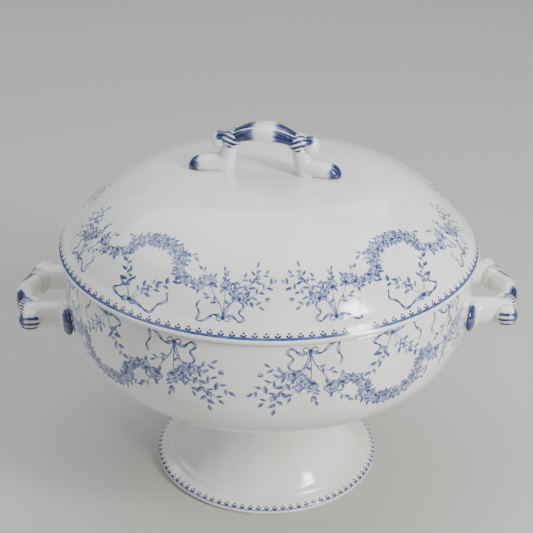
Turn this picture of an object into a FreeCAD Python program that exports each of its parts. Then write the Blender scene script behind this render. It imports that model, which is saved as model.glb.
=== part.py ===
import FreeCAD, Part
import math
import os
from FreeCAD import Matrix, Vector

# Round footed soup tureen of glazed earthenware, with a lift-off domed lid.
# The lid and the two sides each carry a loop handle modelled as a fluted strap,
# bound with cord to two legs whose feet splay out over the glazed wall.
#
# Frame: millimetres, +Z up, origin at the middle of the foot's resting ring.
# The side handles stand on +X and -X, and the front is -Y.

# ---- whole vessel ----
LID_RADIUS = 140.0          # outer edge of the lid
SEAM_Z = 169.4              # underside of the lid's edge, where it sits on the bowl
SEAT_GAP = 0.3              # air between the lid's edge and the bowl's rim
FOOT_TOP_Z = 62.0           # joint between the bowl and its foot
FOOT_TOP_RADIUS = 50.0

# ---- bowl ----
BOWL_WALL = 6.0
BOWL_MOUTH_RADIUS = 131.0
BOWL_RIM_RADIUS = 136.8
BOWL_RIM_ROUND = 1.8
BOWL_FLOOR_Z = 68.8         # top of the floor, on the axis
BOWL_INNER_STEPS = 10       # points that the inner side is drawn through
# outer side from the foot joint up to the rim, as radius and height
BOWL_SIDE = [
    (FOOT_TOP_RADIUS, FOOT_TOP_Z),
    (65.3, 67.6),
    (85.9, 75.9),
    (104.5, 85.4),
    (119.5, 95.8),
    (129.3, 107.6),
    (134.9, 121.3),
    (137.2, 140.0),
    (137.4, 156.0),
    (BOWL_RIM_RADIUS, 167.3),
]

# ---- lid ----
LID_WALL = 5.0
DOME_RISE = 51.2            # height of the dome's top above the seam
DOME_POWER = 4.3            # a higher power gives a flatter top and steeper shoulders
DOME_EDGE_RADIUS = 130.5    # where the dome runs out into the sloping rim
DOME_STEPS = 12
CREASE = (131.8, SEAM_Z + 11.2)  # hollow line between the dome and the rim
RIM_BULGE = (136.0, SEAM_Z + 7.3)    # the sloping rim swells a little here
# thin lip of the lid, from the lower end of the sloping rim down to its underside
RIM_END = (LID_RADIUS - 0.7, SEAM_Z + 3.4)
LIP_OUTER = (LID_RADIUS, SEAM_Z + 2.2)
LIP_LOWER = (LID_RADIUS - 0.4, SEAM_Z + 0.8)
LIP_BOTTOM = (LID_RADIUS - 1.2, SEAM_Z)
FLANGE_OUTER_RADIUS = 128.5  # ring under the lid that keeps it centred in the mouth
FLANGE_INNER_RADIUS = 124.5
FLANGE_DEPTH = 8.0
FLANGE_BLEND = 2.0          # the inner dome ends this far in from the ring's inner side

# ---- pedestal foot ----
FOOT_RADIUS = 79.2
# outer side under the joint, down to the step above the base band
FOOT_SIDE = [
    (FOOT_TOP_RADIUS, FOOT_TOP_Z),
    (48.1, 58.5),
    (48.3, 52.0),
    (51.0, 41.0),
    (56.4, 28.0),
    (62.6, 16.4),
    (66.6, 10.4),
]
STEP_TOP = (69.4, 9.3)
STEP_LOW = (70.9, 7.3)
# rounded edge of the base band, down to the flat ring that it rests on
BAND_EDGE = (FOOT_RADIUS - 1.0, 4.7)
BAND_OUTER = (FOOT_RADIUS, 2.6)
RING_OUTER = (FOOT_RADIUS - 1.2, 0)
RING_INNER = (71.0, 0)
RING_ROUND = (70.0, 0.6)
# hollow side, from the resting ring up to the underside of the bowl
FOOT_HOLLOW = [
    (69.6, 2.0),
    (61.0, 8.0),
    (54.8, 17.5),
    (48.6, 30.0),
    (44.2, 43.0),
    (42.0, FOOT_TOP_Z),
]

# ---- handles ----
LID_HANDLE_TURN = -11.0     # degrees that the lid's handle is turned from the X axis
LID_HANDLE_SHIFT = (-3.3, -2.6)     # it was set by hand, a little off the lid's middle
SIDE_HANDLE_Z = 129.0       # height of the side handles' middle line

LID_HANDLE = {
    "seat_curve": 900.0,    # radius of the surface that the feet lie on
    "crown": 27.4,          # middle line of the strap above the surface, at the middle
    "bend": 40.0,           # bending radius of the strap
    "strap_end": 24.5,      # half length of the strap
    "strap_width": (22.0, 12.5),    # in the middle, and at the ends
    "strap_thick": (11.5, 8.5),
    "binding_at": 21.4,
    "binding_length": 6.6,
    "binding_size": (15.0, 12.4),   # across the strap, and through it
    "leg_at": 22.0,
    "leg_lean": 5.0,        # how far a leg leans outward on its way down
    "leg_top": 19.6,
    "leg_radii": (6.8, 6.0, 5.6),   # at the surface, halfway, and at the top
    "knob_at": (29.6, 19.8),        # along the handle, and above the surface
    "knob_radius": 6.0,
    # foot: distance along the handle, height, half height and half width
    "foot": [
        (23.0, 6.6, 5.8, 6.0),
        (28.0, 5.9, 6.1, 6.9),
        (35.0, 5.1, 5.8, 7.7),
        (42.0, 4.6, 5.2, 7.7),
        (47.2, 3.7, 4.0, 6.0),
        (50.2, 2.4, 1.6, 3.0),
    ],
}

SIDE_HANDLE = {
    "seat_curve": 136.5,
    "crown": 29.0,
    "bend": 36.0,
    "strap_end": 24.0,
    "strap_width": (16.4, 13.4),
    "strap_thick": (12.6, 12.2),
    "binding_at": 20.0,
    "binding_length": 6.4,
    "binding_size": (17.8, 15.8),
    "leg_at": 26.5,
    "leg_lean": 0.0,
    "leg_top": 26.0,
    "leg_radii": (9.6, 9.0, 7.6),
    "knob_at": (34.2, 21.2),
    "knob_radius": 7.7,
    "foot": [
        (26.5, 6.8, 6.6, 8.8),
        (31.5, 4.2, 4.9, 9.7),
        (36.5, 2.7, 3.4, 10.0),
        (41.0, 2.0, 2.6, 8.8),
        (44.2, 1.5, 1.8, 6.0),
        (45.8, 1.2, 0.8, 2.8),
    ],
}

OVAL_POINTS = 12            # points that a closed oval section is drawn through
STRAP_SECTIONS = 9
STRAP_SQUARENESS = 2.5      # 2 is an ellipse, and more is nearer to a rounded box
# stations along a binding (share of its length) and how full it is there
BINDING_SHAPE = [(-0.5, 0.88), (-0.25, 0.98), (0, 1.0), (0.25, 0.98), (0.5, 0.88)]
LEG_ROOT = -5.0             # how deep a leg starts inside the wall before it is trimmed
# above its root, a leg's stations as a share of its height, with which of its
# leg_radii holds there and how full that radius is
LEG_STATIONS = [(0.22, 0, 0.96), (0.5, 1, 1.0), (0.85, 2, 1.02), (1.0, 2, 0.86)]


# ---- helpers for turned shapes ----
def at(radius, height):
    """A point of a turned profile, in the XZ plane."""
    return Vector(radius, 0, height)


def curve_through(points, start=None, end=None):
    """A smooth curve through profile points, with its end directions if given."""
    curve = Part.BSplineCurve()
    places = [at(*point) for point in points]
    if start and end:
        curve.interpolate(Points=places, InitialTangent=at(*start), FinalTangent=at(*end))
    else:
        curve.interpolate(places)
    return curve


def line(first, second):
    return Part.LineSegment(at(*first), at(*second)).toShape()


def arc(first, middle, second):
    return Part.Arc(at(*first), at(*middle), at(*second)).toShape()


def turned(edges):
    """The solid that a closed profile sweeps in a full turn about Z."""
    face = Part.Face(Part.Wire(Part.__sortEdges__(edges)))
    return Part.Solid(face.revolve(Vector(0, 0, 0), Vector(0, 0, 1), 360))


def quarter(centre, radius, first_degrees, last_degrees):
    """A rounding about a centre, between two directions."""
    middle_degrees = (first_degrees + last_degrees) / 2
    places = []
    for degrees in (first_degrees, middle_degrees, last_degrees):
        angle = math.radians(degrees)
        places.append((centre[0] + radius * math.cos(angle), centre[1] + radius * math.sin(angle)))
    return arc(*places)


# ---- turned pieces ----
def bowl():
    outer = curve_through(BOWL_SIDE)
    rim_z = SEAM_Z - SEAT_GAP
    first, last = outer.FirstParameter, outer.LastParameter
    inner_points = []
    for step in range(1, BOWL_INNER_STEPS + 1):
        place = first + (last - first) * step / BOWL_INNER_STEPS
        point = outer.value(place)
        along = outer.tangent(place)[0]
        inward = Vector(-along.z, 0, along.x)
        moved = point + inward * BOWL_WALL
        inner_points.append((moved.x, moved.z))
    inner_points[-1] = (BOWL_MOUTH_RADIUS, BOWL_SIDE[-1][1])
    inner_points.insert(0, (0, BOWL_FLOOR_Z))
    inner = curve_through(inner_points, (1, 0), (0, 1))
    outer_round = (BOWL_RIM_RADIUS - BOWL_RIM_ROUND, BOWL_SIDE[-1][1])
    inner_round = (BOWL_MOUTH_RADIUS + BOWL_RIM_ROUND, BOWL_SIDE[-1][1])
    return turned([
        line((0, FOOT_TOP_Z), BOWL_SIDE[0]),
        outer.toShape(),
        quarter(outer_round, BOWL_RIM_ROUND, 0, 90),
        line((outer_round[0], rim_z), (inner_round[0], rim_z)),
        quarter(inner_round, BOWL_RIM_ROUND, 90, 180),
        inner.toShape(),
        line((0, BOWL_FLOOR_Z), (0, FOOT_TOP_Z)),
    ])


def dome_z(radius):
    """Height of the lid's outer surface at a distance from the axis."""
    return SEAM_Z + DOME_RISE * (1 - (radius / LID_RADIUS) ** DOME_POWER)


def dome_fall(radius):
    """Downward slope of the lid's outer surface."""
    return DOME_RISE * DOME_POWER / LID_RADIUS * (radius / LID_RADIUS) ** (DOME_POWER - 1)


def lid():
    outer_points = []
    inner_points = []
    for step in range(DOME_STEPS + 1):
        radius = DOME_EDGE_RADIUS * step / DOME_STEPS
        outer_points.append((radius, dome_z(radius)))
        length = math.hypot(1, dome_fall(radius))
        inside = radius - LID_WALL * dome_fall(radius) / length
        if inside < FLANGE_INNER_RADIUS - FLANGE_BLEND:
            inner_points.append((inside, dome_z(radius) - LID_WALL / length))
    last_r, last_z = inner_points[-1]
    meet_z = last_z - (FLANGE_INNER_RADIUS - last_r) * dome_fall(DOME_EDGE_RADIUS)
    inner_points.append((FLANGE_INNER_RADIUS, meet_z))
    outer = curve_through(outer_points, (1, 0), (1, -dome_fall(DOME_EDGE_RADIUS)))
    inner = curve_through(inner_points, (1, 0), (1, -dome_fall(DOME_EDGE_RADIUS)))
    flange_round = (FLANGE_OUTER_RADIUS - FLANGE_INNER_RADIUS) / 2
    flange_centre = (FLANGE_INNER_RADIUS + flange_round, SEAM_Z - FLANGE_DEPTH + flange_round)
    return turned([
        outer.toShape(),
        line(outer_points[-1], CREASE),
        arc(CREASE, RIM_BULGE, RIM_END),
        line(RIM_END, LIP_OUTER),
        arc(LIP_OUTER, LIP_LOWER, LIP_BOTTOM),
        line(LIP_BOTTOM, (FLANGE_OUTER_RADIUS, SEAM_Z)),
        line((FLANGE_OUTER_RADIUS, SEAM_Z), (FLANGE_OUTER_RADIUS, flange_centre[1])),
        quarter(flange_centre, flange_round, 0, -180),
        line((FLANGE_INNER_RADIUS, flange_centre[1]), inner_points[-1]),
        inner.toShape(),
        line(inner_points[0], outer_points[0]),
    ])


def pedestal_foot():
    side = curve_through(FOOT_SIDE)
    hollow = curve_through(FOOT_HOLLOW)
    return turned([
        side.toShape(),
        arc(FOOT_SIDE[-1], STEP_TOP, STEP_LOW),
        line(STEP_LOW, BAND_EDGE),
        arc(BAND_EDGE, BAND_OUTER, RING_OUTER),
        line(RING_OUTER, RING_INNER),
        arc(RING_INNER, RING_ROUND, FOOT_HOLLOW[0]),
        hollow.toShape(),
        line(FOOT_HOLLOW[-1], FOOT_SIDE[0]),
    ])


# ---- handle pieces, drawn in the handle's own frame ----
# x runs along the handle, y across it, and z away from the wall it stands on.
def oval(centre, up, half_up, half_across, squareness=2.0):
    """A closed oval section around a centre, square to the handle's run."""
    points = []
    for index in range(OVAL_POINTS):
        angle = 2 * math.pi * index / OVAL_POINTS
        c, s = math.cos(angle), math.sin(angle)
        across = math.copysign(abs(c) ** (2 / squareness), c) * half_across
        rise = math.copysign(abs(s) ** (2 / squareness), s) * half_up
        points.append(centre + Vector(0, across, 0) + up * rise)
    curve = Part.BSplineCurve()
    curve.interpolate(Points=points, PeriodicFlag=True)
    return Part.Wire(curve.toShape())


def strap_place(size, along):
    """Middle point and outward direction of the bent strap."""
    angle = math.asin(along / size["bend"])
    drop = size["bend"] * (1 - math.cos(angle))
    centre = Vector(along, 0, size["crown"] - drop)
    return centre, Vector(math.sin(angle), 0, math.cos(angle))


def strap(size):
    middle_width, end_width = size["strap_width"]
    middle_thick, end_thick = size["strap_thick"]
    sections = []
    for index in range(STRAP_SECTIONS):
        share = 2 * index / (STRAP_SECTIONS - 1) - 1
        centre, up = strap_place(size, share * size["strap_end"])
        fullness = math.cos(share * math.pi / 2) ** 2
        width = end_width + (middle_width - end_width) * fullness
        thick = end_thick + (middle_thick - end_thick) * fullness
        sections.append(oval(centre, up, thick / 2, width / 2, STRAP_SQUARENESS))
    return Part.makeLoft(sections, True)


def binding(size):
    """Barrel of cord wound around the strap."""
    across, through = size["binding_size"]
    sections = []
    for share, bulge in BINDING_SHAPE:
        centre, up = strap_place(size, size["binding_at"] + share * size["binding_length"])
        sections.append(oval(centre, up, through / 2 * bulge, across / 2 * bulge, STRAP_SQUARENESS))
    return Part.makeLoft(sections, True)


def leg(size):
    """Upright post and the foot that splays from it along the wall."""
    radii = size["leg_radii"]
    stations = [(LEG_ROOT, radii[0])]
    for share, which, fullness in LEG_STATIONS:
        stations.append((size["leg_top"] * share, radii[which] * fullness))
    post = []
    for height, radius in stations:
        lean = size["leg_lean"] * (1 - height / size["leg_top"])
        centre = Vector(size["leg_at"] + lean, 0, height)
        post.append(oval(centre, Vector(-1, 0, 0), radius, radius))
    curve = size["seat_curve"]
    foot = []
    for along, height, half_up, half_across in size["foot"]:
        drop = curve - math.sqrt(curve ** 2 - along ** 2)
        lean = math.asin(along / curve)
        centre = Vector(along, 0, height - drop)
        foot.append(oval(centre, Vector(math.sin(lean), 0, math.cos(lean)), half_up, half_across))
    return Part.makeLoft(post, True).fuse(Part.makeLoft(foot, True))


def knob(size):
    along, height = size["knob_at"]
    return Part.makeSphere(size["knob_radius"], Vector(along, 0, height))


def mirrored(shape):
    return shape.mirror(Vector(0, 0, 0), Vector(1, 0, 0))


def largest(shape):
    """The main solid of a trimmed shape, without any sliver cut off beside it."""
    return max(shape.Solids, key=lambda solid: solid.Volume)


def handle(size, wall, placement):
    """The seven pieces of one handle, in the vessel's frame and trimmed to meet face to face."""
    grip = strap(size).transformGeometry(placement)
    pieces = {"grip": grip}
    for end, flip in (("plus", False), ("minus", True)):
        shapes = [binding(size), leg(size), knob(size)]
        if flip:
            shapes = [mirrored(shape) for shape in shapes]
        wound, post, ball = [shape.transformGeometry(placement) for shape in shapes]
        wound = largest(wound.cut(grip))
        post = largest(post.cut(wall).cut(grip).cut(wound))
        ball = largest(ball.cut(grip).cut(wound).cut(post))
        pieces[end + "_binding"] = wound
        pieces[end + "_leg"] = post
        pieces[end + "_knob"] = ball
    return pieces


# ---- placing and writing ----
def frame_of(origin, along, across, away):
    """The matrix that carries the handle's own frame into the vessel's frame."""
    return Matrix(
        along.x, across.x, away.x, origin.x,
        along.y, across.y, away.y, origin.y,
        along.z, across.z, away.z, origin.z,
        0, 0, 0, 1)


def lid_handle_frame():
    turn = math.radians(LID_HANDLE_TURN)
    along = Vector(math.cos(turn), math.sin(turn), 0)
    across = Vector(-math.sin(turn), math.cos(turn), 0)
    origin = Vector(*LID_HANDLE_SHIFT, SEAM_Z + DOME_RISE)
    return frame_of(origin, along, across, Vector(0, 0, 1))


def side_handle_frame(side):
    """side is +1 for the handle on +X and -1 for the one on -X."""
    origin = Vector(side * SIDE_HANDLE["seat_curve"], 0, SIDE_HANDLE_Z)
    return frame_of(origin, Vector(0, side, 0), Vector(0, 0, 1), Vector(side, 0, 0))


def write(name, shape):
    shape.exportStep(os.path.join("parts", name + ".step"))
    box = shape.BoundBox
    print("%-28s %9.0f mm3  valid %s  z %.1f to %.1f" % (
        name, shape.Volume, shape.isValid(), box.ZMin, box.ZMax))


def main():
    os.makedirs("parts", exist_ok=True)
    bowl_solid = bowl()
    lid_solid = lid()
    write("bowl", bowl_solid)
    write("pedestal_foot", pedestal_foot())
    write("lid", lid_solid)
    # prefix, sizes, wall it stands on, frame, name of the +x end and of the -x end
    handles = [
        ("lid_handle", LID_HANDLE, lid_solid, lid_handle_frame(), "right", "left"),
        ("right_handle", SIDE_HANDLE, bowl_solid, side_handle_frame(1), "rear", "front"),
        ("left_handle", SIDE_HANDLE, bowl_solid, side_handle_frame(-1), "front", "rear"),
    ]
    for prefix, size, wall, placement, plus_name, minus_name in handles:
        for piece, shape in handle(size, wall, placement).items():
            name = piece.replace("plus", plus_name).replace("minus", minus_name)
            write(prefix + "_" + name, shape)


main()
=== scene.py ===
import math
import random
from math import cos, pi, radians, sin
from types import SimpleNamespace

import bmesh
import bpy
import numpy as np
from mathutils import Matrix, Vector
from mathutils.geometry import delaunay_2d_cdt


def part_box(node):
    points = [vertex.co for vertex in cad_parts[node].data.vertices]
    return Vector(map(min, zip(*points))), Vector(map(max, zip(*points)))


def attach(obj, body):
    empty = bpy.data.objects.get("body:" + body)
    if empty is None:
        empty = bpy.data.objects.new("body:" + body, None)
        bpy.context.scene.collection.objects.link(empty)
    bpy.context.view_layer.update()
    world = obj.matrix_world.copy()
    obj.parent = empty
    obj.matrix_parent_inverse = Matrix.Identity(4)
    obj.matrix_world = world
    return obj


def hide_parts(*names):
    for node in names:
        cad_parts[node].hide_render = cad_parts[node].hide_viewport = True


# Soup tureen of glazed earthenware with a blue transfer print. The shapes below are
# worked in millimetres in the frame's own axes, and turned to metres when meshes are made.

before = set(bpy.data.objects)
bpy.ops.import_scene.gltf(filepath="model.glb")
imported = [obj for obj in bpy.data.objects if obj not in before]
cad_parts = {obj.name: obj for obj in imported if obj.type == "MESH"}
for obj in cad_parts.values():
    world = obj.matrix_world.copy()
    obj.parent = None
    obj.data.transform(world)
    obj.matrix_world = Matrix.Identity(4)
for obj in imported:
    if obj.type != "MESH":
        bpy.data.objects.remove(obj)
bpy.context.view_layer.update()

MM = 0.001
LID_TOP_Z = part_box("lid")[1].z / MM
LID_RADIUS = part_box("lid")[1].x / MM
BOWL_TOP_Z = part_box("bowl")[1].z / MM
FOOT_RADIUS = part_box("pedestal_foot")[1].x / MM
FOOT_TOP_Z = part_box("pedestal_foot")[1].z / MM

# ---- lid outline ----
SEAT_GAP = 0.3  # air between the lid's edge and the bowl's rim
SEAM_Z = BOWL_TOP_Z + SEAT_GAP
DOME_RISE = LID_TOP_Z - SEAM_Z
DOME_POWER = 4.3  # a higher power gives a flatter top and steeper shoulders
DOME_EDGE_RADIUS = 130.5
LID_WALL = 5.0
# groove and sloping rim outside the dome, then the thin lip, as radius and height
RIM_END = (LID_RADIUS - 0.7, SEAM_Z + 3.4)
LID_RIM = [
    (131.7, SEAM_Z + 11.45),
    (133.2, SEAM_Z + 9.95),
    (136.0, SEAM_Z + 7.3),
    RIM_END,
    (LID_RADIUS, SEAM_Z + 2.2),
    (LID_RADIUS - 0.4, SEAM_Z + 0.8),
    (LID_RADIUS - 1.2, SEAM_Z),
]
FLANGE_OUTER_RADIUS = 128.5
FLANGE_INNER_RADIUS = 124.5
FLANGE_DEPTH = 8.0

# ---- bowl outline ----
BOWL_WALL = 6.0
BOWL_MOUTH_RADIUS = 131.0
BOWL_RIM_ROUND = 1.8
BOWL_FLOOR_Z = 68.8
BOWL_INNER_STEPS = 10  # points that the inner side is drawn through
BOWL_SIDE = [
    (136.8, BOWL_TOP_Z - BOWL_RIM_ROUND),
    (137.4, 156.0),
    (137.2, 140.0),
    (134.9, 121.3),
    (129.3, 107.6),
    (119.5, 95.8),
    (104.5, 85.4),
    (85.9, 75.9),
    (65.3, 67.6),
    (50.0, FOOT_TOP_Z),
]

# ---- foot outline ----
FOOT_SIDE = [
    (50.0, FOOT_TOP_Z),
    (48.1, 58.5),
    (48.3, 52.0),
    (51.0, 41.0),
    (56.4, 28.0),
    (62.6, 16.4),
    (66.6, 10.4),
]
FOOT_STEP = [(66.6, 10.4), (69.4, 9.3), (70.9, 7.3)]
BAND_EDGE = (FOOT_RADIUS - 1.0, 4.7)
BAND_ROUND = [BAND_EDGE, (FOOT_RADIUS, 2.6), (FOOT_RADIUS - 1.2, 0.0)]
RING_ROUND = [(71.0, 0.0), (70.0, 0.6), (69.6, 2.0)]
FOOT_HOLLOW = [(69.6, 2.0), (61.0, 8.0), (54.8, 17.5), (48.6, 30.0), (44.2, 43.0), (42.0, FOOT_TOP_Z)]

# ---- how finely things are cut ----
COLUMNS = 264  # faces around a turned piece
COLUMN_DEGREES = 360 / COLUMNS
ROW = 3.0  # height of a face along an outline
OUTLINE_POINTS = 260  # points that a curved outline is worked out at
RIM_POINTS = 90
# rings along a piece of a handle, and points round each
GRIP_CUTS = (61, 90)
BINDING_CUTS = (31, 156)
KNOB_CUTS = (33, 64)
LEG_AROUND = 40
LEG_VOXEL = 0.7


# ================= curves =================
def unit(vectors):
    """The same directions, each with a length of one."""
    return vectors / np.linalg.norm(vectors, axis=-1, keepdims=True)


def through(points, count, start=None, end=None):
    """Evenly parted points of the smooth curve (a cubic spline) through some points."""
    places = np.array(points, float)
    gaps = np.linalg.norm(np.diff(places, axis=0), axis=1)
    chords = np.diff(places, axis=0) / gaps[:, None]
    size = len(places)
    system = np.zeros((size, size))
    known = np.zeros_like(places)
    for k in range(1, size - 1):
        system[k, k - 1] = gaps[k]
        system[k, k] = 2 * (gaps[k - 1] + gaps[k])
        system[k, k + 1] = gaps[k - 1]
        known[k] = 3 * (gaps[k] * chords[k - 1] + gaps[k - 1] * chords[k])
    for row, beside, chord, slope in ((0, 1, chords[0], start), (-1, -2, chords[-1], end)):
        if slope is None:
            system[row, row] = 2
            system[row, beside] = 1
            known[row] = 3 * chord
        else:
            system[row, row] = 1
            known[row] = np.array(slope, float) / np.linalg.norm(slope)
    slopes = np.linalg.solve(system, known)
    knots = np.concatenate(([0.0], np.cumsum(gaps)))
    spots = np.linspace(0, knots[-1], count)
    left = np.clip(np.searchsorted(knots, spots, side="right") - 1, 0, size - 2)
    gap = gaps[left][:, None]
    t = ((spots - knots[left]) / gaps[left])[:, None]
    first, last = places[left], places[left + 1]
    bend_in, bend_out = slopes[left] * gap, slopes[left + 1] * gap
    return (first * (2 * t ** 3 - 3 * t ** 2 + 1) + bend_in * (t ** 3 - 2 * t ** 2 + t)
            + last * (3 * t ** 2 - 2 * t ** 3) + bend_out * (t ** 3 - t ** 2))


def arc(first, middle, last, count=9):
    """Points of the circular arc through three points of an outline."""
    (ax, ay), (bx, by), (cx, cy) = first, middle, last
    d = 2 * (ax * (by - cy) + bx * (cy - ay) + cx * (ay - by))
    a2, b2, c2 = ax * ax + ay * ay, bx * bx + by * by, cx * cx + cy * cy
    ox = (a2 * (by - cy) + b2 * (cy - ay) + c2 * (ay - by)) / d
    oy = (a2 * (cx - bx) + b2 * (ax - cx) + c2 * (bx - ax)) / d
    radius = math.hypot(ax - ox, ay - oy)
    start = math.atan2(ay - oy, ax - ox)
    turn = math.atan2(cy - oy, cx - ox) - start
    turn = (turn + pi) % (2 * pi) - pi
    angles = start + turn * np.linspace(0, 1, count)
    return np.stack([ox + radius * np.cos(angles), oy + radius * np.sin(angles)], axis=1)


def joined(*stretches):
    """One list of points from stretches that each begin where the last one ends."""
    points = [np.array(stretches[0], float)]
    for stretch in stretches[1:]:
        points.append(np.array(stretch, float)[1:])
    return np.concatenate(points)


class Run:
    """A smooth stretch of a turned outline, walked with the outside on its left."""

    def __init__(self, points):
        self.points = np.array(points, float)
        gaps = np.linalg.norm(np.diff(self.points, axis=0), axis=1)
        self.places = np.concatenate(([0.0], np.cumsum(gaps)))
        self.length = self.places[-1]
        slopes = unit(np.gradient(self.points, self.places, axis=0))
        self.normals = np.stack([-slopes[:, 1], slopes[:, 0]], axis=1)

    def at(self, degrees, places):
        """Positions and normals at angles (0 is the front, 90 is +X) and places along the run."""
        radius, height = (np.interp(places, self.places, part) for part in self.points.T)
        out, up = (np.interp(places, self.places, part) for part in self.normals.T)
        turn = np.radians(degrees)
        s, c = np.sin(turn), np.cos(turn)
        positions = np.stack([radius * s, -radius * c, height], axis=-1)
        normals = np.stack([out * s, -out * c, up], axis=-1)
        return positions, unit(normals)

    def rows(self, first=0.0, last=None, step=ROW):
        """Places along the run, about a step apart, with both ends among them."""
        last = self.length if last is None else last
        return np.linspace(first, last, max(1, math.ceil((last - first) / step - 0.01)) + 1)


def quads(rows, around, covered=()):
    """Faces between closed rows of points, except the covered columns."""
    faces = []
    for row in range(rows - 1):
        for column in range(around):
            if column not in covered:
                here = row * around + column
                beside = row * around + (column + 1) % around
                faces.append((here, beside, beside + around, here + around))
    return faces


class Surface:
    """Faces of a turned piece, gathered run by run and welded at the end."""

    def __init__(self):
        self.positions = []
        self.normals = []
        self.faces = []  # corners, ink and material
        self.count = 0

    def add(self, positions, normals, faces, inks, material=0):
        for face, ink in zip(faces, inks):
            self.faces.append(([self.count + corner for corner in face], ink, material))
        self.positions.append(positions)
        self.normals.append(normals)
        self.count += len(positions)

    def turn(self, run, first=0.0, last=None, step=ROW, material=0, covered=()):
        """Plain faces all round a stretch of a run, except the covered columns. Gives its rows."""
        rows = run.rows(first, last, step)
        degrees = np.arange(COLUMNS) * COLUMN_DEGREES
        grid_degrees, grid_rows = np.meshgrid(degrees, rows)
        positions, normals = run.at(grid_degrees.ravel(), grid_rows.ravel())
        faces = quads(len(rows), COLUMNS, covered)
        self.add(positions, normals, faces, [0.0] * len(faces), material)
        return rows

    def mesh(self, name):
        positions = np.concatenate(self.positions)
        normals = np.concatenate(self.normals)
        unique, welded = np.unique(np.round(positions, 3) + 0.0, axis=0, return_inverse=True)
        welded = welded.ravel()
        kept = []
        corner_normals = []
        inks = []
        materials = []
        for face, ink, material in self.faces:
            corners = []
            for corner in face:
                if not corners or welded[corner] != welded[corners[-1]]:
                    corners.append(corner)
            if welded[corners[0]] == welded[corners[-1]]:
                corners.pop()
            if len(corners) < 3:
                continue
            a, b, c = positions[corners[0]], positions[corners[1]], positions[corners[2]]
            facing = np.dot(np.cross(b - a, c - a), normals[corners[0]] + normals[corners[1]])
            if facing < 0:
                corners.reverse()
            kept.append([int(welded[corner]) for corner in corners])
            corner_normals.extend(normals[corner] for corner in corners)
            inks.append(ink)
            materials.append(material)
        mesh = bpy.data.meshes.new(name)
        mesh.from_pydata((unique * MM).tolist(), [], kept)
        mesh.polygons.foreach_set("material_index", materials)
        mesh.shade_smooth()
        mesh.attributes.new("ink", "FLOAT", "FACE").data.foreach_set("value", inks)
        mesh.normals_split_custom_set([tuple(normal) for normal in corner_normals])
        return mesh


# ================= transfer print =================
# A sketch is drawn on a flat sheet: u runs to the right and v away from the rim.
def on_oval(centre, reach, degrees):
    """The point of an oval that lies at an angle from its centre."""
    turn = radians(degrees)
    return centre[0] + reach[0] * cos(turn), centre[1] + reach[1] * sin(turn)


def polar(u, v, reach, heading):
    return on_oval((u, v), (reach, reach), heading)


def path_length(points):
    return sum(math.dist(a, b) for a, b in zip(points, points[1:]))


def heading_of(du, dv):
    return math.degrees(math.atan2(dv, du))


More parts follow.
